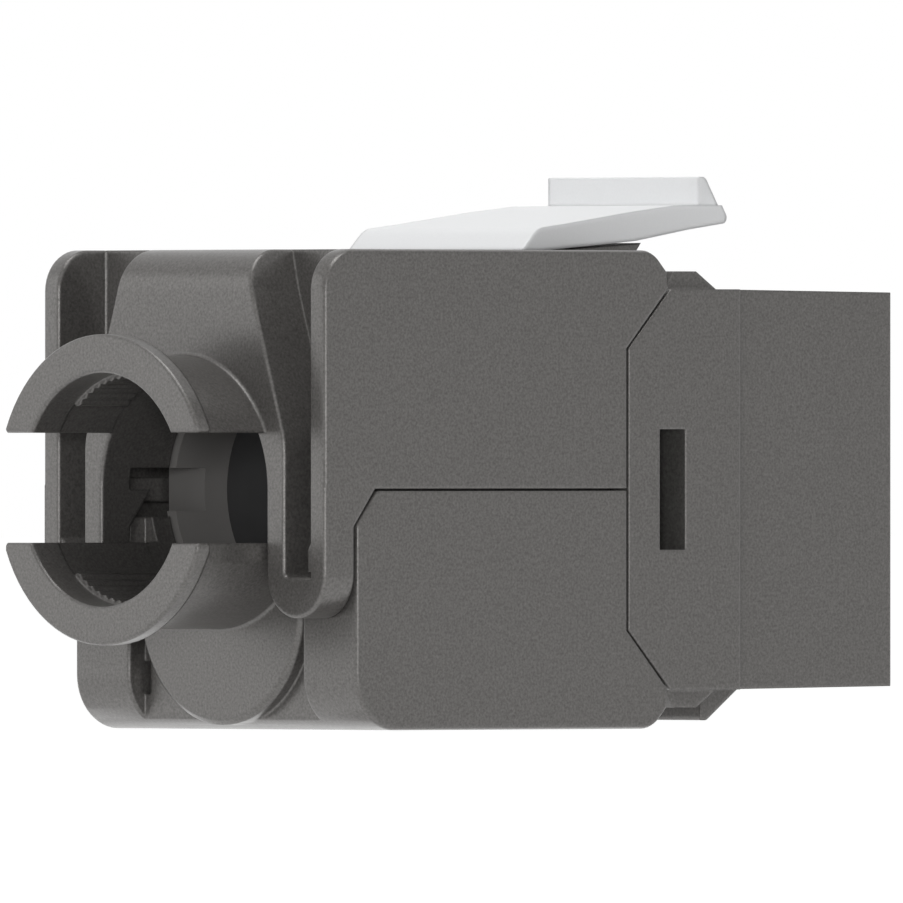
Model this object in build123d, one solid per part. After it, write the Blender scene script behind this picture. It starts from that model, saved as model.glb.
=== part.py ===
from build123d import *
from math import cos, radians, sin
import os

# A shielded keystone jack whose two cast wings swing open for wiring.
# X runs from the cable end to the port, Y across, Z up, in millimetres.
# Stations along X are measured from the upper wing's rear face, and every piece is
# moved at the end so that the origin is the centre of the port's front face.

# Overall casting
body_depth = 32.54
wing_width = 16.9
wing_height = 19.44
wing_wall = 0.93
wing_front_x = 16.64
roof_thickness = 0.95
nose_width = 14.7
nose_height = 16.1
shoulder_height = 16.3
shoulder_front_x = 23.06
joint_gap = 0.15
split_gap = 0.1

# Cast edges
rim_break = 0.1
rear_break = 0.08
disc_break = 0.2
collar_break = 0.08
inner_fill = 0.08
front_round = 0.13
tiny = 0.001

# Slanted corners where the wings meet the housing
slant_height = 5.73
slant_tip_x = 18.98
slant_tip_z = 8.18
brow_x = 18.15
brow_radius = 1.2
cheek_z = 8.85
cheek_radius = 0.35

# Hinges between the wings and the housing
hinge_x = 20.6
hinge_z = 7.95
pin_radius = 0.45
pin_length = 14.4
pin_press_gap = 0.02
pin_running_gap = 0.06
lug_radius = 0.8
lug_inner_y = 5.45
lug_width = 1.0
lug_root_x = 16.2
lug_root_length = 2.2
lug_gap = 0.12
ledge_height = 0.73
ledge_rear_x = 19.9
ledge_top_x = 20.35
ledge_top_length = 1.2
ledge_front_x = 22.67

# Upper wing's rear face
rear_edge_radius = 1.67
rear_wall_x = 2.6
rear_wall_thickness = 1.05
arch_radius = 4.94
arch_leg_width = 1.06
arch_slot_z = 2.0
arch_slot_top_y = 3.7
arch_slot_neck_y = 4.05
arch_slot_neck_z = 8.1
arch_slot_neck_radius = 2.0
arch_slot_leg_radius = 3.0
arch_slot_foot_radius = 0.2
finger_depth = 1.56
finger_heel_x = 2.74
finger_heel_z = -1.49
finger_centre_z = -3.44
slot_bottom_z = -3.53
nub_height = 0.9
nub_top_z = -2.43
nub_slope = 0.5
nub_proud = 0.31

# Lower wing's rear face
leg_x = 1.75
leg_edge_radius = 2.2
leg_inner_y = 5.2
end_wall_x = 2.65
disc_radius = 4.91
disc_centre_z = -4.63
disc_x = 1.96
gap_top_z = 0.88
gap_bottom_z = -1.1
vent_width = 0.3
vent_top_z = -6.96
vent_height = 1.34

# Ribs inside the lower wing that cover its joint with the upper wing
rib_thickness = 0.45
rib_height = 0.5
rib_gap = 0.05

# Cable collar, one half on each wing
collar_reach = 4.54
collar_bore = 4.73
collar_pocket = 4.9
collar_land = 1.53
flange_radius = 6.29
flange_thickness = 0.69
flange_half_width = 5.78
flange_corner = 0.15
upper_cut_z = 2.3
lower_cut_z = -2.15
upper_neck_radius = 5.44
lower_neck_radius = 5.64
lower_neck_half_width = 4.8

# Gripping pads inside the collar
pad_half_angle = 43.0
pad_teeth = 16
pad_crest = 4.5
tooth_depth = 0.12
upper_pad_length = 2.7
lower_pad_length = 4.1

# Latch and the ramp that it sits on
latch_rear_x = 13.84
latch_root_z = 9.70
latch_rear_width = 10.45
latch_front_width = 9.44
latch_seat_length = 1.06
latch_heel_length = 0.9
latch_heel_height = 0.92
latch_heel_radius = 1.0
latch_top_bends = [(16.3, 10.8), (20.37, 11.33), (22.75, 11.58)]
latch_top_z = 11.6
latch_tip_length = 1.52
latch_tip_z = 10.9
latch_tip_radius = 0.25
latch_underside_bends = [(23.5, 10.6), (20.4, 10.12)]
latch_hollow_margin = 0.6
latch_hollow_front_x = 21.9
latch_hollow_z = 10.9
catch_x = 24.38
catch_top_z = 12.76
catch_width = 9.0
catch_flat = 0.36
catch_rear_radius = 0.06
catch_front_radius = 0.3
peg_radius = 0.4
peg_length = 1.2
peg_root = 0.1
peg_gap = 0.17
ramp_width = 8.8
ramp_rear_gap = 0.06
ramp_tip_x = 21.24
ramp_tip_z = 10.05
ramp_undercut = 0.29
ramp_undercut_z = 9.69
roof_window_width = 10.8
roof_window_rear_x = 13.5

# Fixed hook under the nose
hook_width = 9.2
hook_bottom_z = -9.43
hook_flat = 0.32
hook_front_x = 26.6
hook_radius = 0.25

# Window in each side of the housing
window_x = 18.5
window_length = 1.44
window_height = 4.9

# Port inside the nose
housing_cavity_half_width = 6.7
housing_cavity_half_height = 7.15
front_lip = 0.85
front_lip_half_width = 6.2
front_lip_half_height = 6.55
insert_gap = 0.05
board_front_x = 19.2
board_thickness = 1.6
board_gap = 0.2
plug_half_width = 5.87
plug_floor_z = -1.95
plug_roof_z = 4.85
plug_back_x = 20.8
tab_half_width = 3.2
tab_floor_z = -4.25
tab_slot_half_width = 2.0
tab_slot_floor_z = -5.75

# Contacts of the port
contact_count = 8
contact_pitch = 1.02
contact_width = 0.36
contact_thickness = 0.3
contact_top_z = 6.4
contact_front_inset = 2.0
contact_bend = 0.45
contact_tip_x = 22.4
contact_tip_z = 2.9
contact_slot_width = 0.62

# Shield springs at the sides of the port
spring_height = 3.0
spring_thickness = 0.2
spring_front_inset = 2.0
spring_rear_x = 22.2
spring_bow = 0.75
spring_z = 1.6
spring_slot_gap = 0.2
spring_foot = 1.2

# Terminals behind the board
block_rear_x = 12.6
block_gap = 0.05
blade_count = 8
blade_pitch = 3.3
blade_row_z = 5.4
blade_width = 2.2
blade_thickness = 0.4
blade_rear_inset = 0.5
blade_slit_width = 0.35
blade_slit_depth = 2.6
blade_gap = 0.05
wire_slot_width = 0.95
wire_slot_depth = 3.0
wire_slot_floor_z = 4.0

# Cap that holds the wires, and the shield plate over it
cap_rear_x = 5.41
cap_side_gap = 0.72
cap_roof_gap = 0.87
cap_corner = 1.0
cap_plate = 1.2
cap_bore_radius = 4.66
cap_bore_end_x = 6.65
cap_spout_radius = 5.2
cap_spout_rear_x = 3.77
cap_spout_z = 0.88
cap_window_half_width = 2.1
cap_window_height = 3.4
cap_bar_height = 1.4

# Values that follow from the sizes above
half_wing = wing_width / 2
wing_top = wing_height / 2
half_shoulder = shoulder_height / 2
half_nose = nose_width / 2
roof_inner_z = wing_top - roof_thickness
wing_inner_y = half_wing - wing_wall
split_z = split_gap / 2
finger_radius = (half_wing - arch_radius) / 2
finger_centre_y = (half_wing + arch_radius) / 2
slot_inner_y = arch_radius + arch_leg_width
ledge_top_z = half_shoulder + ledge_height
seat_front_x = latch_rear_x + latch_seat_length
board_rear_x = board_front_x - board_thickness
lip_rear_x = body_depth - front_lip
rear_wall_end_x = rear_wall_x + rear_wall_thickness
collar_rear_x = -collar_reach
collar_land_end_x = collar_land - collar_reach
peg_x = latch_rear_x + latch_seat_length / 2
heel_end_x = finger_heel_x + joint_gap
contact_front_x = body_depth - contact_front_inset
spring_front_x = body_depth - spring_front_inset
cap_half_width = wing_inner_y - cap_side_gap
cap_half_height = roof_inner_z - cap_roof_gap


def outline(corners):
    """A flat face through corners (a, b) or (a, b, radius)."""
    points = [corner[:2] for corner in corners]
    radii = [corner[2] if len(corner) == 3 else 0 for corner in corners]
    return make_face(FilletPolyline(*points, radius=radii, close=True))


def across(corners, inner_y, outer_y):
    """A side profile given by (x, z) corners, from inner_y to outer_y."""
    face = Plane.XZ.offset(-inner_y) * outline(corners)
    return extrude(face, inner_y - outer_y)


def across_both(corners, half_width):
    """A side profile that spans the middle of the part."""
    return across(corners, -half_width, half_width)


def along(face, start_x, end_x):
    """A cross-section in Y and Z, carried from start_x to end_x."""
    return extrude(Plane.YZ.offset(start_x) * face, end_x - start_x)


def box(start_x, end_x, start_y, end_y, start_z, end_z):
    size = (end_x - start_x, end_y - start_y, end_z - start_z)
    middle = ((start_x + end_x) / 2, (start_y + end_y) / 2, (start_z + end_z) / 2)
    return Pos(*middle) * Box(*size)


def rod_across(radius, centre_x, centre_z, half_length):
    """A round bar along Y through (centre_x, centre_z)."""
    return Pos(centre_x, 0, centre_z) * Rot(90, 0, 0) * Cylinder(radius, 2 * half_length)


def both_sides(shape):
    return shape + mirror(shape, Plane.XZ)


def turned_over(shape):
    return mirror(shape, Plane.XY)


def wing_corners(rear_radius):
    """The side profile of a wing, from its rear face to its slanted front."""
    return [
        (0, split_z),
        (0, wing_top, rear_radius),
        (brow_x, wing_top, brow_radius),
        (slant_tip_x, cheek_z, cheek_radius),
        (slant_tip_x, slant_tip_z),
        (wing_front_x, slant_height),
        (wing_front_x, split_z),
    ]


def with_broken_rims(wing):
    """Breaks a wing's outer rims at its rear, roof and brow, on both sides."""
    rims = []
    for edge in wing.edges():
        middle = edge.center()
        outer = abs(abs(middle.Y) - half_wing) < 0.001 and middle.Z > split_z + 0.001
        if outer and (middle.Z > cheek_z or middle.X < wing_front_x / 2):
            rims.append(edge)
    return chamfer(rims, rim_break)


def with_broken_face(shape, x, length):
    """Breaks every edge that lies in the plane across X at the given station."""
    edges = [edge for edge in shape.edges() if all(abs(v.X - x) < 0.001 for v in edge.vertices())]
    return chamfer(edges, length)


def wing_chamber():
    return box(rear_wall_end_x, body_depth, -wing_inner_y, wing_inner_y, 0, roof_inner_z)


def hinge_lugs():
    """Two lugs under the roof that reach forward to the pin, without their bore."""
    arm = across([
        (lug_root_x, roof_inner_z + roof_thickness / 2),
        (lug_root_x + lug_root_length, roof_inner_z + roof_thickness / 2),
        (hinge_x, hinge_z + lug_radius),
        (hinge_x, hinge_z - lug_radius),
        (lug_root_x + lug_root_length, hinge_z - lug_radius),
    ], lug_inner_y, lug_inner_y + lug_width)
    eye = rod_across(lug_radius, hinge_x, hinge_z, lug_width / 2)
    return both_sides(arm + Pos(0, lug_inner_y + lug_width / 2, 0) * eye)


def collar_half(cut_z, neck_radius, neck_end_x, neck_half_width, junction_x):
    """One half of the cable collar: flange, neck, bore and pocket, open downwards."""
    above = Pos(0, cut_z + wing_top / 2) * Rectangle(2 * wing_width, wing_top)
    cut_flange = RectangleRounded(2 * flange_half_width, wing_top, flange_corner)
    flange = Circle(flange_radius) & Pos(0, cut_z + wing_top / 2) * cut_flange
    neck_flat = Rectangle(2 * neck_half_width, 2 * wing_height)
    neck = Circle(neck_radius) & above & neck_flat
    half = along(flange, collar_rear_x, collar_rear_x + flange_thickness)
    half += along(neck, collar_rear_x, neck_end_x)
    half -= along(Circle(collar_bore), collar_rear_x, neck_end_x)
    half = with_broken_face(half, collar_rear_x, collar_break)
    fill = Pos(junction_x - inner_fill / 2, 0, 0) * Rot(0, 90, 0)
    fill *= Cone(neck_radius, neck_radius + inner_fill, inner_fill)
    half += fill & along(above & neck_flat, collar_rear_x, neck_end_x)
    half -= along(Circle(collar_bore), collar_rear_x, neck_end_x)
    half -= along(Circle(collar_pocket), collar_land_end_x, neck_end_x)
    return half


def gripping_pad(length):
    """A band of teeth that run along the cable, standing on the collar's pocket."""
    step = 2 * pad_half_angle / pad_teeth
    angles = [90 - pad_half_angle + step * i / 2 for i in range(2 * pad_teeth + 1)]
    inner = []
    for i, angle in enumerate(angles):
        radius = pad_crest if i % 2 else pad_crest + tooth_depth
        inner.append((radius * cos(radians(angle)), radius * sin(radians(angle))))
    root = (collar_pocket + upper_neck_radius) / 2
    first = Vector(*inner[0]).normalized() * root
    last = Vector(*inner[-1]).normalized() * root
    teeth = Polyline(*inner)
    back = ThreePointArc((last.X, last.Y), (0, root), (first.X, first.Y))
    ends = Line(inner[-1], (last.X, last.Y)) + Line((first.X, first.Y), inner[0])
    face = make_face(teeth + back + ends)
    return along(face, collar_land_end_x, collar_land_end_x + length)


def arch_opening():
    """The hole for the cable, round above the axis and straight below it."""
    legs = Pos(0, -wing_top / 2) * Rectangle(2 * arch_radius, wing_top)
    return along(Circle(arch_radius) + legs, 0, rear_wall_end_x)


def side_gap(start_x, height):
    """The gap along the split that both wings leave beside the arch, on the side of positive Y."""
    return box(start_x, rear_wall_end_x, arch_radius / 2, wing_inner_y, 0, height)


def is_slot_corner(point):
    """Whether a point is on the upright corner between a rear slot's floor and its outer wall."""
    return abs(point.X - rear_wall_x) < 0.001 and abs(point.Y - wing_inner_y) < 0.001


def rear_slot():
    """The slot beside the arch, open at the top, on the side of positive Y."""
    face = outline([
        (wing_inner_y, slot_bottom_z),
        (wing_inner_y, wing_height),
        (arch_slot_top_y, wing_height),
        (arch_slot_top_y, wing_top),
        (arch_slot_neck_y, arch_slot_neck_z, arch_slot_neck_radius),
        (slot_inner_y, arch_slot_z, arch_slot_leg_radius),
        (slot_inner_y, slot_bottom_z, arch_slot_foot_radius),
    ])
    slot = along(face, 0, rear_wall_x)
    corner = [edge for edge in slot.edges() if is_slot_corner(edge.center())]
    return chamfer(corner, inner_fill)


def finger():
    """The round-ended finger that hooks behind the lower wing, on the side of positive Y."""
    shank_height = 2 * split_gap - finger_centre_z
    shank_middle_z = split_gap + finger_centre_z / 2
    shank = Pos(finger_centre_y, shank_middle_z) * Rectangle(2 * finger_radius, shank_height)
    tip = Pos(finger_centre_y, finger_centre_z) * Circle(finger_radius)
    front = along(shank + tip, 0, finger_heel_x)
    side = across([
        (0, 2 * split_gap),
        (finger_heel_x, 2 * split_gap),
        (finger_heel_x, split_z),
        (finger_depth, finger_heel_z),
        (finger_depth, -wing_top),
        (0, -wing_top),
    ], 0, half_wing)
    nub = along(outline([
        (wing_inner_y + wing_wall / 2, nub_top_z + nub_slope),
        (wing_inner_y, nub_top_z + nub_slope),
        (wing_inner_y - nub_proud, nub_top_z),
        (wing_inner_y - nub_proud, nub_top_z - nub_height),
        (wing_inner_y + wing_wall / 2, nub_top_z - nub_height),
    ]), finger_depth / 8, finger_depth)
    return front & side, nub


def upper_wing():
    """Die-cast cover that swings up: roof, side walls, slotted arch and half collar."""
    wing = with_broken_rims(across_both(wing_corners(rear_edge_radius), half_wing)) - wing_chamber()
    hooked, nub = finger()
    wing += both_sides(hooked)
    wing -= arch_opening()
    wing -= both_sides(rear_slot() + side_gap(finger_depth, gap_top_z))
    wing = with_broken_face(wing, 0, rear_break)
    wing += both_sides(nub)
    wing += collar_half(upper_cut_z, upper_neck_radius, rear_wall_x, flange_radius, 0)
    wing -= along(Circle(arch_radius), 0, rear_wall_end_x)
    wing += gripping_pad(upper_pad_length)
    half_window = roof_window_width / 2
    wing -= box(roof_window_rear_x, body_depth, -half_window, half_window, roof_inner_z - 1, wing_height)
    wing += hinge_lugs()
    return wing - rod_across(pin_radius + pin_running_gap, hinge_x, hinge_z, half_wing)


def lap_rib():
    """The rib that stands up behind the joint of the wings, on the side of positive Y."""
    inner_y = wing_inner_y - rib_gap - rib_thickness
    rib = box(heel_end_x, wing_front_x, inner_y, wing_inner_y - rib_gap, -rib_height, rib_height)
    return rib + box(heel_end_x, wing_front_x, inner_y, wing_inner_y, split_z, rib_height)


def lower_wing():
    """Die-cast cover that swings down, drawn upside down and then turned over."""
    wing = across_both(wing_corners(leg_edge_radius), half_wing)
    heel_slope = (split_z + finger_heel_z) / (finger_depth - finger_heel_x)
    wing -= across_both([
        (-1, 0),
        (heel_end_x, 0),
        (heel_end_x, split_z),
        (leg_x, split_z + (heel_end_x - leg_x) * heel_slope),
        (leg_x, wing_height),
        (-1, wing_height),
    ], half_wing)
    rounded = across_both([
        (leg_x, 0),
        (leg_x, wing_top, leg_edge_radius),
        (body_depth, wing_top),
        (body_depth, 0),
    ], half_wing)
    wing = with_broken_rims(wing & rounded) - wing_chamber()
    wing -= box(leg_x, end_wall_x, -leg_inner_y, leg_inner_y, 0, wing_height)
    wing = with_broken_face(wing, leg_x, rear_break)
    wing -= both_sides(side_gap(leg_x, -gap_bottom_z))
    disc = Pos(0, -disc_centre_z) * Circle(disc_radius)
    above_split = Pos(0, split_z + wing_top / 2) * Rectangle(wing_width, wing_top)
    boss = along(disc & above_split, disc_x, rear_wall_end_x)
    wing += with_broken_face(boss, disc_x, disc_break)
    wing += collar_half(-lower_cut_z, lower_neck_radius, end_wall_x, lower_neck_half_width, disc_x)
    wing -= along(Circle(arch_radius), disc_x, rear_wall_end_x)
    wing -= along(Circle(collar_pocket), 0, end_wall_x)
    wing += gripping_pad(lower_pad_length)
    vent_z = -vent_top_z
    vent = box(leg_x, cap_rear_x, leg_inner_y - vent_width, leg_inner_y, vent_z, vent_z + vent_height)
    wing -= both_sides(vent)
    wing += hinge_lugs() + both_sides(lap_rib())
    wing -= rod_across(pin_radius + pin_running_gap, hinge_x, hinge_z, half_wing)
    return turned_over(wing)


def shoulder_corners():
    """The side profile of the housing's wide part, with its slanted rear corners."""
    rear_x = wing_front_x + joint_gap
    tip_x = slant_tip_x + joint_gap
    upper = [(rear_x, slant_height), (tip_x, half_shoulder), (shoulder_front_x, half_shoulder)]
    lower = [(x, -z) for x, z in reversed(upper)]
    return upper + lower


def ledge():
    """The raised strip over a hinge, full width of the nose."""
    return across_both([
        (ledge_rear_x, half_shoulder - ledge_height),
        (ledge_rear_x, half_shoulder),
        (ledge_top_x, ledge_top_z),
        (ledge_top_x + ledge_top_length, ledge_top_z),
        (ledge_front_x, half_shoulder),
        (ledge_front_x, half_shoulder - ledge_height),
    ], half_nose)


def lug_pocket():
    """Room for a wing's lugs, open behind the pin so that they can swing up."""
    pocket_radius = lug_radius + lug_gap
    width = lug_width + 2 * lug_gap
    middle_y = lug_inner_y + lug_width / 2
    side_y = middle_y - width / 2
    end_y = side_y + width
    swing = box(wing_front_x, hinge_x, side_y, end_y, hinge_z - pocket_radius, wing_height)
    swing += box(hinge_x, hinge_x + pocket_radius, side_y, end_y, hinge_z, wing_height)
    eye = rod_across(pocket_radius, hinge_x, hinge_z, width / 2)
    return both_sides(swing + Pos(0, middle_y, 0) * eye)


def latch_ramp():
    """The tongue of the housing that carries the latch through the upper wing's roof."""
    ramp = across_both([
        (latch_rear_x + ramp_rear_gap, housing_cavity_half_height),
        (latch_rear_x + ramp_rear_gap, latch_root_z),
        (seat_front_x, latch_root_z),
        (ramp_tip_x, ramp_tip_z),
        (ramp_tip_x - ramp_undercut, ramp_undercut_z),
        (ramp_tip_x - ramp_undercut, housing_cavity_half_height),
    ], ramp_width / 2)
    return ramp - Pos(peg_x, 0, latch_root_z) * Cylinder(peg_radius + peg_gap, 2 * (peg_length + peg_gap))


def fixed_hook():
    return across_both([
        (catch_x, -half_nose),
        (catch_x, hook_bottom_z, hook_radius / 2),
        (catch_x + hook_flat, hook_bottom_z, hook_radius),
        (hook_front_x, -nose_height / 2),
        (hook_front_x, -half_nose),
    ], hook_width / 2)


def is_front_edge(edge):
    middle = edge.position_at(0.5)
    on_shoulder = abs(middle.X - shoulder_front_x) + abs(abs(middle.Y) - half_wing) < tiny
    return on_shoulder or abs(middle.X - body_depth) < tiny


def front_housing():
    """Die-cast body: nose, shoulders, hinge ledges, latch ramp and fixed hook."""
    housing = across_both(shoulder_corners(), half_wing)
    housing += across_both([
        (shoulder_front_x, half_shoulder),
        (body_depth, nose_height / 2),
        (body_depth, -nose_height / 2),
        (shoulder_front_x, -half_shoulder),
    ], half_nose)
    housing = fillet(housing.edges().filter_by(is_front_edge), front_round)
    housing += ledge() + turned_over(ledge())
    cavity_y = housing_cavity_half_width
    cavity_z = housing_cavity_half_height
    housing -= box(0, lip_rear_x, -cavity_y, cavity_y, -cavity_z, cavity_z)
    lip_y = front_lip_half_width
    lip_z = front_lip_half_height
    housing -= box(lip_rear_x, body_depth, -lip_y, lip_y, -lip_z, lip_z)
    housing += latch_ramp() + fixed_hook()
    half_window = window_height / 2
    window_end_x = window_x + window_length
    housing -= box(window_x, window_end_x, -half_wing, half_wing, -half_window, half_window)
    housing -= lug_pocket() + turned_over(lug_pocket())
    bore = rod_across(pin_radius + pin_press_gap, hinge_x, hinge_z, pin_length / 2 + pin_press_gap)
    return housing - bore - turned_over(bore)


def hinge_pin():
    return rod_across(pin_radius, hinge_x, hinge_z, pin_length / 2)


def latch():
    """White moulded latch: a sloping tongue with an upright catch near its tip."""
    side = across_both([
        (latch_rear_x, latch_root_z),
        (latch_rear_x + latch_heel_length, latch_root_z + latch_heel_height, latch_heel_radius),
        *latch_top_bends,
        (catch_x, latch_top_z),
        (catch_x, catch_top_z, catch_rear_radius),
        (catch_x + catch_flat, catch_top_z, catch_front_radius),
        (catch_x + latch_tip_length, latch_tip_z, latch_tip_radius),
        *latch_underside_bends,
        (seat_front_x, latch_root_z),
    ], latch_rear_width / 2)
    tip_x = catch_x + latch_tip_length
    plan = make_face(Polyline(
        (latch_rear_x, latch_rear_width / 2),
        (tip_x, latch_front_width / 2),
        (tip_x, -latch_front_width / 2),
        (latch_rear_x, -latch_rear_width / 2),
        close=True,
    ))
    body = side & extrude(plan, wing_height, both=True)
    shaved = box(catch_x, body_depth, catch_width / 2, wing_width, latch_top_z, wing_height)
    body -= both_sides(shaved)
    body -= across_both([
        (seat_front_x, latch_root_z - 1),
        (seat_front_x, latch_root_z),
        (latch_hollow_front_x, latch_hollow_z),
        (latch_hollow_front_x, latch_root_z - 1),
    ], latch_rear_width / 2 - latch_hollow_margin)
    peg_middle_z = latch_root_z + (peg_root - peg_length) / 2
    peg = Pos(peg_x, 0, peg_middle_z) * Cylinder(peg_radius, peg_length + peg_root)
    return body + peg


def contact_y(index):
    return (index - (contact_count - 1) / 2) * contact_pitch


def port_insert():
    """Plastic liner of the port, with a comb of slots for its contacts."""
    half_width = housing_cavity_half_width - insert_gap
    half_height = housing_cavity_half_height - insert_gap
    insert = box(board_front_x, lip_rear_x, -half_width, half_width, -half_height, half_height)
    insert -= box(plug_back_x, body_depth, -plug_half_width, plug_half_width, plug_floor_z, plug_roof_z)
    insert -= box(plug_back_x, body_depth, -tab_half_width, tab_half_width, tab_floor_z, plug_roof_z)
    insert -= box(plug_back_x, body_depth, -tab_slot_half_width, tab_slot_half_width,
                  tab_slot_floor_z, plug_roof_z)
    half_slot = contact_slot_width / 2
    for i in range(contact_count):
        y = contact_y(i)
        insert -= box(board_front_x, contact_front_x, y - half_slot, y + half_slot,
                      plug_roof_z - contact_thickness * 2, contact_top_z)
    half_spring = spring_height / 2 + spring_slot_gap
    side_slot = box(spring_rear_x - spring_slot_gap, spring_front_x + spring_slot_gap,
                    plug_half_width - spring_slot_gap, half_width,
                    spring_z - half_spring, spring_z + half_spring)
    return insert - both_sides(side_slot)


def contact(index):
    """Spring wire from the board along the roof of the port and back down into it."""
    top = contact_top_z - contact_thickness / 2
    path = FilletPolyline(
        (board_front_x, top),
        (contact_front_x, top),
        (contact_tip_x, contact_tip_z),
        radius=contact_bend,
    )
    wire = Plane.XZ * trace(path, contact_thickness)
    wire = extrude(wire, contact_width / 2, both=True)
    return Pos(0, contact_y(index), 0) * wire


def shield_spring():
    """Leaf that bows into the port to touch a plug's shield, on the side of positive Y."""
    seat_y = housing_cavity_half_width - spring_thickness / 2
    middle_x = (spring_front_x + spring_rear_x) / 2
    leaf = Polyline((spring_front_x, seat_y), (spring_front_x - spring_foot, seat_y))
    leaf += ThreePointArc(
        (spring_front_x - spring_foot, seat_y),
        (middle_x, seat_y - spring_bow),
        (spring_rear_x, seat_y - spring_thickness),
    )
    face = trace(leaf, spring_thickness)
    return Pos(0, 0, spring_z - spring_height / 2) * extrude(face, spring_height)


def circuit_board():
    half_width = housing_cavity_half_width - board_gap
    half_height = housing_cavity_half_height - board_gap
    return box(board_rear_x, board_front_x, -half_width, half_width, -half_height, half_height)


def blade_place(index):
    """The (y, z) centre of a blade, four above the axis and four below it."""
    per_row = blade_count // 2
    y = (index % per_row - (per_row - 1) / 2) * blade_pitch
    z = blade_row_z if index < per_row else -blade_row_z
    return y, z


def idc_blade(index):
    """Flat forked blade that cuts into a wire from both sides."""
    y, z = blade_place(index)
    rear_x = block_rear_x + blade_rear_inset
    half_width = blade_width / 2
    half_thick = blade_thickness / 2
    half_slit = blade_slit_width / 2
    mouth = half_slit + half_width / 3
    plan = outline([
        (board_rear_x, -half_width),
        (board_rear_x, half_width),
        (rear_x, half_width),
        (rear_x, mouth),
        (rear_x + half_width / 2, half_slit),
        (rear_x + blade_slit_depth, half_slit),
        (rear_x + blade_slit_depth, -half_slit),
        (rear_x + half_width / 2, -half_slit),
        (rear_x, -mouth),
        (rear_x, -half_width),
    ])
    return Pos(0, y, z - half_thick) * extrude(plan, blade_thickness)


def terminal_block():
    """Plastic block behind the board that holds the blades and guides the wires."""
    block_half_width = housing_cavity_half_width - block_gap
    block_end_z = housing_cavity_half_height - block_gap
    block = box(block_rear_x, board_rear_x, -block_half_width, block_half_width,
                -block_end_z, block_end_z)
    half_wire = wire_slot_width / 2
    for i in range(blade_count):
        y, z = blade_place(i)
        half_width = blade_width / 2 + blade_gap
        half_thick = blade_thickness / 2 + blade_gap
        block -= box(block_rear_x, board_rear_x, y - half_width, y + half_width,
                     z - half_thick, z + half_thick)
        floor_z = wire_slot_floor_z if z > 0 else -wire_slot_floor_z
        top_z = block_end_z if z > 0 else -block_end_z
        block -= box(block_rear_x, block_rear_x + wire_slot_depth, y - half_wire, y + half_wire,
                     min(floor_z, top_z), max(floor_z, top_z))
    return block


def cap_outline():
    return fillet(Rectangle(2 * cap_half_width, 2 * cap_half_height).vertices(), cap_corner)


def inner_shield():
    """Cast plate over the cap, with a spout above and below that meets the cable collar."""
    shield = along(cap_outline(), cap_rear_x, cap_bore_end_x)
    spout = Circle(cap_spout_radius) - Circle(cap_bore_radius)
    above = Pos(0, cap_spout_z + cap_half_height / 2) * Rectangle(2 * cap_half_width, cap_half_height)
    arc = along(spout & above, cap_spout_rear_x, cap_bore_end_x)
    shield += arc + turned_over(arc)
    return shield - along(Circle(cap_bore_radius), cap_rear_x, cap_bore_end_x)


def wire_cap():
    """Black cap behind the block, with two windows and a channel for each wire."""
    cap = along(cap_outline(), cap_bore_end_x, block_rear_x)
    low = cap_bar_height / 2
    window = box(cap_bore_end_x, block_rear_x, -cap_window_half_width, cap_window_half_width,
                 low, low + cap_window_height)
    cap -= window + turned_over(window)
    half_wire = wire_slot_width / 2
    for i in range(blade_count):
        y, z = blade_place(i)
        top_z = cap_half_height if z > 0 else -cap_half_height
        cap -= box(cap_bore_end_x + cap_plate, block_rear_x, y - half_wire, y + half_wire,
                   min(0, top_z), max(0, top_z))
    return cap


def save(name, shape):
    placed = Pos(-body_depth, 0, 0) * shape
    export_step(placed, "parts/" + name + ".step")


os.makedirs("parts", exist_ok=True)
save("front_housing", front_housing())
save("upper_wing", upper_wing())
save("lower_wing", lower_wing())
save("latch", latch())
save("upper_hinge_pin", hinge_pin())
save("lower_hinge_pin", turned_over(hinge_pin()))
save("port_insert", port_insert())
save("circuit_board", circuit_board())
save("terminal_block", terminal_block())
save("wire_cap", wire_cap())
save("inner_shield", inner_shield())
save("shield_spring_left", shield_spring())
save("shield_spring_right", mirror(shield_spring(), Plane.XZ))
for i in range(contact_count):
    save("contact_" + str(i + 1), contact(i))
for i in range(blade_count):
    save("idc_blade_" + str(i + 1), idc_blade(i))
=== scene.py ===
import math

import bpy
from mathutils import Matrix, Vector


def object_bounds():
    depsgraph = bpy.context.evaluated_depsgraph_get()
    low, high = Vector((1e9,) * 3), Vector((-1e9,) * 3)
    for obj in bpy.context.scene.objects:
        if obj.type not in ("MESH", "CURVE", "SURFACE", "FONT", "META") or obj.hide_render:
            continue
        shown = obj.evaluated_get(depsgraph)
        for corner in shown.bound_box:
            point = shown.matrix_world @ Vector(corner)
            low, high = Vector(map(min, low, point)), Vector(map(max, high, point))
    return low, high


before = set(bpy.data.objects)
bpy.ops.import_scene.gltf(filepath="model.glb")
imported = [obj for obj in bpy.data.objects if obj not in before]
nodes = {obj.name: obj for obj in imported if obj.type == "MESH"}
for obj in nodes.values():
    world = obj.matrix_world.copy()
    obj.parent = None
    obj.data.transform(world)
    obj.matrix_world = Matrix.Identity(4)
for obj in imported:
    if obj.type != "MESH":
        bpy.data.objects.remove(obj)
cad_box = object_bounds()


# ---- Housing and wings --------------------------------------------------------------
# The front housing holds the port, and the two wings close over the cable behind it. All
# three are zinc die castings, blasted and dull nickel plated: a dark warm grey skin, with
# lighter and darker grains a tenth of a millimetre wide.
MM = 0.001
WELD_GAP = 0.001 * MM
SHARP_ANGLE = math.radians(30)
GRAIN_WIDTH = 0.11 * MM
EDGE_RADIUS = 0.18 * MM
PATCH_WIDTH = 2.4 * MM
SKIN_DEPTH = 0.01 * MM


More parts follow.
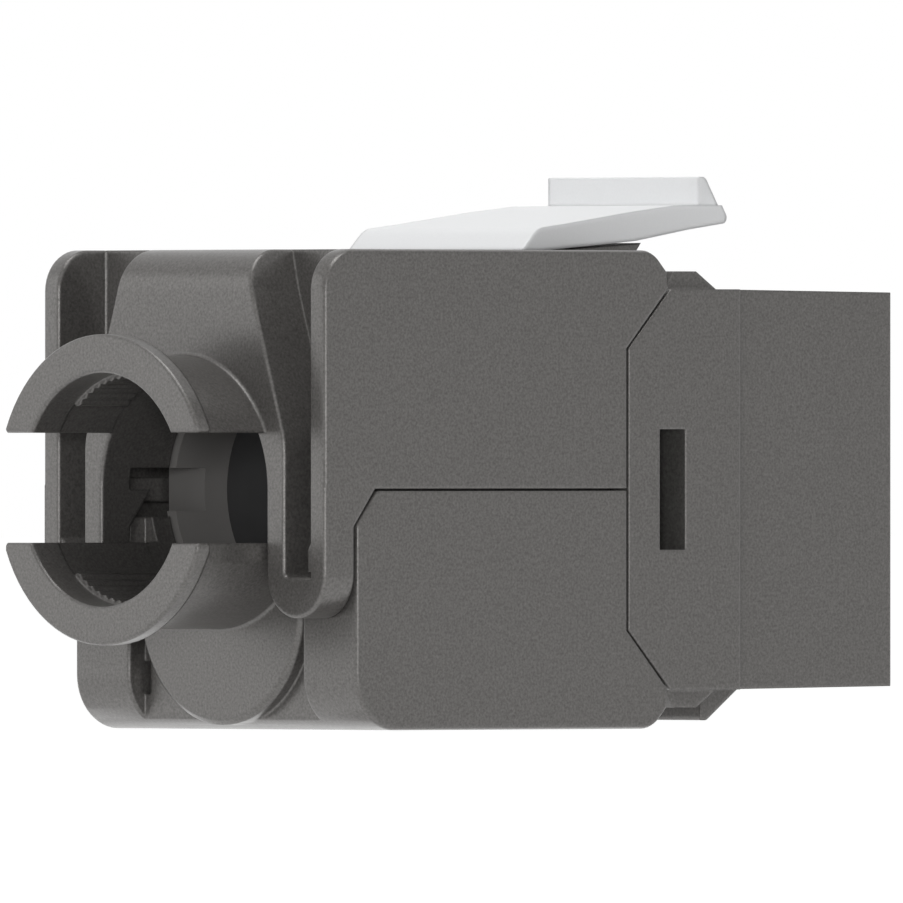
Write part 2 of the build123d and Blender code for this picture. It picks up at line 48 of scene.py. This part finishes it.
def to_linear(hex_colour):
    """Turns an sRGB colour such as "#80807e" into the linear colour that sockets take."""
    channels = [int(hex_colour[i:i + 2], 16) / 255 for i in (1, 3, 5)]
    linear = [c / 12.92 if c <= 0.04045 else ((c + 0.055) / 1.055) ** 2.4 for c in channels]
    return (*linear, 1.0)


def add_node(tree, kind, inputs, **settings):
    """Adds a node with its settings, and gives its inputs their values or links."""
    added = tree.nodes.new(kind)
    for name, value in settings.items():
        setattr(added, name, value)
    for name, value in inputs.items():
        if isinstance(value, bpy.types.NodeSocket):
            tree.links.new(value, added.inputs[name])
        else:
            added.inputs[name].default_value = value
    return added


def new_material(name):
    """An empty material, with its tree and its output node."""
    material = bpy.data.materials.new(name)
    material.use_nodes = True
    material.node_tree.nodes.clear()
    output = material.node_tree.nodes.new("ShaderNodeOutputMaterial")
    return material, material.node_tree, output


def dress(names, material):
    """Gives CAD nodes their finish, with flat faces flat and curved ones smooth."""
    for name in names:
        slots = nodes[name].data.materials
        slots.clear()
        slots.append(material)
        weld = nodes[name].modifiers.new("weld", "WELD")
        weld.merge_threshold = WELD_GAP
        split = nodes[name].modifiers.new("sharp_corners", "EDGE_SPLIT")
        split.split_angle = SHARP_ANGLE
        split.use_edge_sharp = False
        nodes[name].modifiers.new("flat_faces", "WEIGHTED_NORMAL")


cast_zinc, tree, output = new_material("blasted_nickel_on_cast_zinc")
place = add_node(tree, "ShaderNodeTexCoord", {}).outputs["Object"]
grain = add_node(tree, "ShaderNodeTexNoise", {
    "Vector": place, "Scale": 1 / GRAIN_WIDTH, "Detail": 2.0, "Roughness": 0.6,
})
patches = add_node(tree, "ShaderNodeTexNoise", {
    "Vector": place, "Scale": 1 / PATCH_WIDTH, "Detail": 3.0, "Roughness": 0.5,
})
grain_tone = add_node(tree, "ShaderNodeValToRGB", {"Fac": grain.outputs["Fac"]})
grain_tone.color_ramp.elements[0].position = 0.25
grain_tone.color_ramp.elements[0].color = to_linear("#4a4846")
grain_tone.color_ramp.elements[1].position = 0.75
grain_tone.color_ramp.elements[1].color = to_linear("#686664")
patch_rough = add_node(tree, "ShaderNodeMapRange", {
    "Value": patches.outputs["Fac"], "To Min": 0.28, "To Max": 0.36,
})
rounded = add_node(tree, "ShaderNodeBevel", {"Radius": EDGE_RADIUS}, samples=8)
grain_bump = add_node(tree, "ShaderNodeBump", {
    "Height": grain.outputs["Fac"], "Strength": 0.15, "Distance": SKIN_DEPTH,
    "Normal": rounded.outputs["Normal"],
})
metal = add_node(tree, "ShaderNodeBsdfPrincipled", {
    "Base Color": grain_tone.outputs["Color"],
    "Metallic": 0.3,
    "Roughness": patch_rough.outputs["Result"],
    "Normal": grain_bump.outputs["Normal"],
})
tree.links.new(metal.outputs["BSDF"], output.inputs["Surface"])
dress(["front_housing", "upper_wing", "lower_wing"], cast_zinc)


# ---- Inner shield -------------------------------------------------------------------
# A cast zinc plate with a round spout, in front of the wire cap. It keeps the smooth skin
# of its die, without the blasting, with only a faint cloud where the metal flowed.
smooth_zinc, tree, output = new_material("smooth_cast_zinc")
place = add_node(tree, "ShaderNodeTexCoord", {}).outputs["Object"]
flow = add_node(tree, "ShaderNodeTexNoise", {
    "Vector": place, "Scale": 1 / PATCH_WIDTH, "Detail": 3.0, "Roughness": 0.5,
})
flow_tone = add_node(tree, "ShaderNodeMix", {
    "Factor": flow.outputs["Fac"], "A": to_linear("#7b7977"), "B": to_linear("#858381"),
}, data_type="RGBA")
metal = add_node(tree, "ShaderNodeBsdfPrincipled", {
    "Base Color": flow_tone.outputs["Result"],
    "Metallic": 0.1,
    "Roughness": 0.5,
})
tree.links.new(metal.outputs["BSDF"], output.inputs["Surface"])
dress(["inner_shield"], smooth_zinc)


# ---- Latch --------------------------------------------------------------------------
# The snap latch clips on the ramp of the housing. It is moulded in white polycarbonate,
# with a faintly eroded tool finish that scatters the light a little.
ERODED_WIDTH = 0.09 * MM
CORNER_RADIUS = 0.25 * MM

white_plastic, tree, output = new_material("white_moulded_polycarbonate")
place = add_node(tree, "ShaderNodeTexCoord", {}).outputs["Object"]
eroded = add_node(tree, "ShaderNodeTexNoise", {
    "Vector": place, "Scale": 1 / ERODED_WIDTH, "Detail": 2.0,
})
rounded = add_node(tree, "ShaderNodeBevel", {"Radius": CORNER_RADIUS}, samples=8)
eroded_bump = add_node(tree, "ShaderNodeBump", {
    "Height": eroded.outputs["Fac"], "Strength": 0.12, "Distance": SKIN_DEPTH,
    "Normal": rounded.outputs["Normal"],
})
white_tone = add_node(tree, "ShaderNodeMix", {
    "Factor": eroded.outputs["Fac"], "A": to_linear("#e2e3e4"), "B": to_linear("#e8e9ea"),
}, data_type="RGBA")
plastic = add_node(tree, "ShaderNodeBsdfPrincipled", {
    "Base Color": white_tone.outputs["Result"],
    "Roughness": 0.45,
    "IOR": 1.58,
    "Normal": eroded_bump.outputs["Normal"],
})
tree.links.new(plastic.outputs["BSDF"], output.inputs["Surface"])
dress(["latch"], white_plastic)


# ---- Hinge pins ---------------------------------------------------------------------
# Two pins that the wings turn on, cut from drawn stainless steel wire, with fine lines
# along their length from the drawing die.
DRAWN_LINE = 0.05 * MM
DRAWN_STRETCH = (1.0, 0.03, 1.0)

pin_steel, tree, output = new_material("drawn_stainless_steel")
place = add_node(tree, "ShaderNodeTexCoord", {}).outputs["Object"]
stretched = add_node(tree, "ShaderNodeMapping", {"Vector": place, "Scale": DRAWN_STRETCH})
lines = add_node(tree, "ShaderNodeTexNoise", {
    "Vector": stretched.outputs["Vector"], "Scale": 1 / DRAWN_LINE, "Detail": 2.0,
})
line_rough = add_node(tree, "ShaderNodeMapRange", {
    "Value": lines.outputs["Fac"], "To Min": 0.22, "To Max": 0.4,
})
metal = add_node(tree, "ShaderNodeBsdfPrincipled", {
    "Base Color": to_linear("#c3c2c0"),
    "Metallic": 1.0,
    "Roughness": line_rough.outputs["Result"],
})
tree.links.new(metal.outputs["BSDF"], output.inputs["Surface"])
dress(["upper_hinge_pin", "lower_hinge_pin"], pin_steel)


# ---- Plastic liner, terminal block and wire cap -------------------------------------
# Black glass-filled nylon mouldings. The tool leaves them smooth and half matt, with a
# very faint cloud from the glass fibre, and they look dark grey where light falls flat.
CLOUD_WIDTH = 1.3 * MM

black_plastic, tree, output = new_material("black_moulded_nylon")
place = add_node(tree, "ShaderNodeTexCoord", {}).outputs["Object"]
cloud = add_node(tree, "ShaderNodeTexNoise", {
    "Vector": place, "Scale": 1 / CLOUD_WIDTH, "Detail": 4.0,
})
black_tone = add_node(tree, "ShaderNodeMix", {
    "Factor": cloud.outputs["Fac"], "A": to_linear("#2c2c2d"), "B": to_linear("#353536"),
}, data_type="RGBA")
cloud_rough = add_node(tree, "ShaderNodeMapRange", {
    "Value": cloud.outputs["Fac"], "To Min": 0.42, "To Max": 0.52,
})
plastic = add_node(tree, "ShaderNodeBsdfPrincipled", {
    "Base Color": black_tone.outputs["Result"],
    "Roughness": cloud_rough.outputs["Result"],
    "IOR": 1.53,
})
tree.links.new(plastic.outputs["BSDF"], output.inputs["Surface"])
dress(["port_insert", "terminal_block", "wire_cap"], black_plastic)


# ---- Port contacts ------------------------------------------------------------------
# Eight spring wires of phosphor bronze with a hard gold flash, bent from the board into
# the port. Gold is bright and yellow, with faint lines along the wire.
CONTACTS = 8
WIRE_LINE = 0.03 * MM
WIRE_STRETCH = (0.05, 1.0, 0.3)

gold, tree, output = new_material("gold_flash_on_bronze_wire")
place = add_node(tree, "ShaderNodeTexCoord", {}).outputs["Object"]
stretched = add_node(tree, "ShaderNodeMapping", {"Vector": place, "Scale": WIRE_STRETCH})
lines = add_node(tree, "ShaderNodeTexNoise", {
    "Vector": stretched.outputs["Vector"], "Scale": 1 / WIRE_LINE, "Detail": 2.0,
})
line_rough = add_node(tree, "ShaderNodeMapRange", {
    "Value": lines.outputs["Fac"], "To Min": 0.2, "To Max": 0.35,
})
metal = add_node(tree, "ShaderNodeBsdfPrincipled", {
    "Base Color": to_linear("#e2b75b"),
    "Metallic": 1.0,
    "Roughness": line_rough.outputs["Result"],
})
tree.links.new(metal.outputs["BSDF"], output.inputs["Surface"])
dress([f"contact_{i + 1}" for i in range(CONTACTS)], gold)


# ---- Shield springs -----------------------------------------------------------------
# Two leaves that touch the plug's shield at the sides of the port, cut and bent from
# rolled bronze strip, with faint lines from the rolls.
ROLLED_LINE = 0.06 * MM
ROLLED_STRETCH = (0.04, 1.0, 1.0)

bronze, tree, output = new_material("rolled_spring_bronze")
place = add_node(tree, "ShaderNodeTexCoord", {}).outputs["Object"]
stretched = add_node(tree, "ShaderNodeMapping", {"Vector": place, "Scale": ROLLED_STRETCH})
rolled = add_node(tree, "ShaderNodeTexNoise", {
    "Vector": stretched.outputs["Vector"], "Scale": 1 / ROLLED_LINE, "Detail": 3.0,
})
bronze_tone = add_node(tree, "ShaderNodeMix", {
    "Factor": rolled.outputs["Fac"], "A": to_linear("#b98f5e"), "B": to_linear("#cfa878"),
}, data_type="RGBA")
metal = add_node(tree, "ShaderNodeBsdfPrincipled", {
    "Base Color": bronze_tone.outputs["Result"],
    "Metallic": 1.0,
    "Roughness": 0.34,
})
tree.links.new(metal.outputs["BSDF"], output.inputs["Surface"])
dress(["shield_spring_left", "shield_spring_right"], bronze)


# ---- Circuit board ------------------------------------------------------------------
# The board between the contacts and the blades, routed from epoxy glass under green
# solder mask: glossy, with the glass weave just showing.
WEAVE_PITCH = 0.5 * MM

board, tree, output = new_material("green_solder_mask_on_epoxy_glass")
place = add_node(tree, "ShaderNodeTexCoord", {}).outputs["Object"]
weave = add_node(tree, "ShaderNodeTexWave", {
    "Vector": place, "Scale": 1 / (2 * WEAVE_PITCH), "Distortion": 0.6,
}, bands_direction="DIAGONAL")
board_tone = add_node(tree, "ShaderNodeMix", {
    "Factor": weave.outputs["Fac"], "A": to_linear("#1c5432"), "B": to_linear("#226039"),
}, data_type="RGBA")
lacquer = add_node(tree, "ShaderNodeBsdfPrincipled", {
    "Base Color": board_tone.outputs["Result"],
    "Roughness": 0.28,
    "IOR": 1.5,
})
tree.links.new(lacquer.outputs["BSDF"], output.inputs["Surface"])
dress(["circuit_board"], board)


# ---- Blades -------------------------------------------------------------------------
# Eight forked blades that cut into the wires, stamped from tinned bronze: a soft white
# metal, dull where it was stamped.
BLADES = 8
TIN_WIDTH = 0.4 * MM

tin, tree, output = new_material("tin_on_stamped_bronze")
place = add_node(tree, "ShaderNodeTexCoord", {}).outputs["Object"]
tin_patches = add_node(tree, "ShaderNodeTexNoise", {
    "Vector": place, "Scale": 1 / TIN_WIDTH, "Detail": 3.0,
})
tin_rough = add_node(tree, "ShaderNodeMapRange", {
    "Value": tin_patches.outputs["Fac"], "To Min": 0.3, "To Max": 0.5,
})
metal = add_node(tree, "ShaderNodeBsdfPrincipled", {
    "Base Color": to_linear("#cfcfca"),
    "Metallic": 1.0,
    "Roughness": tin_rough.outputs["Result"],
})
tree.links.new(metal.outputs["BSDF"], output.inputs["Surface"])
dress([f"idc_blade_{i + 1}" for i in range(BLADES)], tin)


# ---- Floor and background -----------------------------------------------------------
# A plain pale table, low enough for the lower wing to swing open above it. To the camera
# and in reflections it is white, and it darkens only in the object's shadow.
FLOOR_SIZE = 20.0
WING_SWING = 22 * MM
TABLE_GLOW = 0.84
FILL = 0.20
WHITE = (1.0, 1.0, 1.0, 1.0)

low, high = cad_box
half = FLOOR_SIZE / 2
corners = [(-half, -half, 0), (half, -half, 0), (half, half, 0), (-half, half, 0)]
floor_mesh = bpy.data.meshes.new("floor")
floor_mesh.from_pydata(corners, [], [(0, 1, 2, 3)])
floor = bpy.data.objects.new("floor", floor_mesh)
floor.location = (0, 0, low[2] - WING_SWING)
bpy.context.scene.collection.objects.link(floor)

paper, tree, output = new_material("pale_table")
lit = add_node(tree, "ShaderNodeBsdfDiffuse", {"Color": to_linear("#f4f4f4")})
ray = add_node(tree, "ShaderNodeLightPath", {})
seen = add_node(tree, "ShaderNodeMath", {
    0: ray.outputs["Is Camera Ray"], 1: ray.outputs["Is Glossy Ray"],
}, operation="MAXIMUM")
glow = add_node(tree, "ShaderNodeMath", {
    0: seen.outputs[0], 1: TABLE_GLOW,
}, operation="MULTIPLY")
white = add_node(tree, "ShaderNodeEmission", {"Color": WHITE, "Strength": glow.outputs[0]})
both = add_node(tree, "ShaderNodeAddShader", {0: lit.outputs[0], 1: white.outputs[0]})
tree.links.new(both.outputs[0], output.inputs["Surface"])
floor_mesh.materials.append(paper)

# The world is white where it is seen, and gives the rest of the scene a low, even light.
world = bpy.data.worlds.new("studio")
bpy.context.scene.world = world
world.use_nodes = True
tree = world.node_tree
tree.nodes.clear()
output = tree.nodes.new("ShaderNodeOutputWorld")
ray = add_node(tree, "ShaderNodeLightPath", {})
mirrored = add_node(tree, "ShaderNodeMath", {
    0: ray.outputs["Is Camera Ray"], 1: ray.outputs["Is Glossy Ray"],
}, operation="MAXIMUM")
seen = add_node(tree, "ShaderNodeMath", {
    0: mirrored.outputs[0], 1: ray.outputs["Is Transmission Ray"],
}, operation="MAXIMUM")
strength = add_node(tree, "ShaderNodeMapRange", {
    "Value": seen.outputs[0], "To Min": FILL, "To Max": 1.0,
})
background = add_node(tree, "ShaderNodeBackground", {
    "Color": WHITE, "Strength": strength.outputs["Result"],
})
tree.links.new(background.outputs[0], output.inputs["Surface"])


# ---- Lamps --------------------------------------------------------------------------
# A small lamp beside the camera, a broad one on the far side of the cable end, and a soft
# one above.
LAMP_DISTANCE = 0.8

middle = (Vector(low) + Vector(high)) / 2


def add_lamp(name, direction, size, power):
    """A square lamp that faces the middle of the object from the given direction."""
    light = bpy.data.lights.new(name, "AREA")
    light.size = size
    light.energy = power
    lamp = bpy.data.objects.new(name, light)
    bpy.context.scene.collection.objects.link(lamp)
    outward = Vector(direction).normalized()
    lamp.location = middle + outward * LAMP_DISTANCE
    lamp.rotation_euler = outward.to_track_quat("Z", "Y").to_euler()


add_lamp("near_lamp", (-0.71, -0.70, 0.06), size=0.12, power=1.90)
add_lamp("far_lamp", (-0.68, 0.733, 0.15), size=0.60, power=1.30)
add_lamp("top_lamp", (-0.12, -0.09, 1.0), size=0.50, power=4.50)


# ---- Camera -------------------------------------------------------------------------
# Level with the jack, 47 degrees round from the cable end, from far off with a long lens,
# so that it shows almost no perspective.
CAMERA_DISTANCE = 1.6
VIEW_WIDTH = 36.79 * MM
AIM = Vector((-17.75, 0.0, 1.545)) * MM
FORWARD = Vector((0.68, 0.733, 0.0)).normalized()

lens = bpy.data.cameras.new("camera")
lens.lens = lens.sensor_width * CAMERA_DISTANCE / VIEW_WIDTH
camera = bpy.data.objects.new("camera", lens)
bpy.context.scene.collection.objects.link(camera)
camera.location = AIM - FORWARD * CAMERA_DISTANCE
camera.rotation_euler = FORWARD.to_track_quat("-Z", "Y").to_euler()
bpy.context.scene.camera = camera
bpy.context.scene.view_settings.view_transform = "Standard"
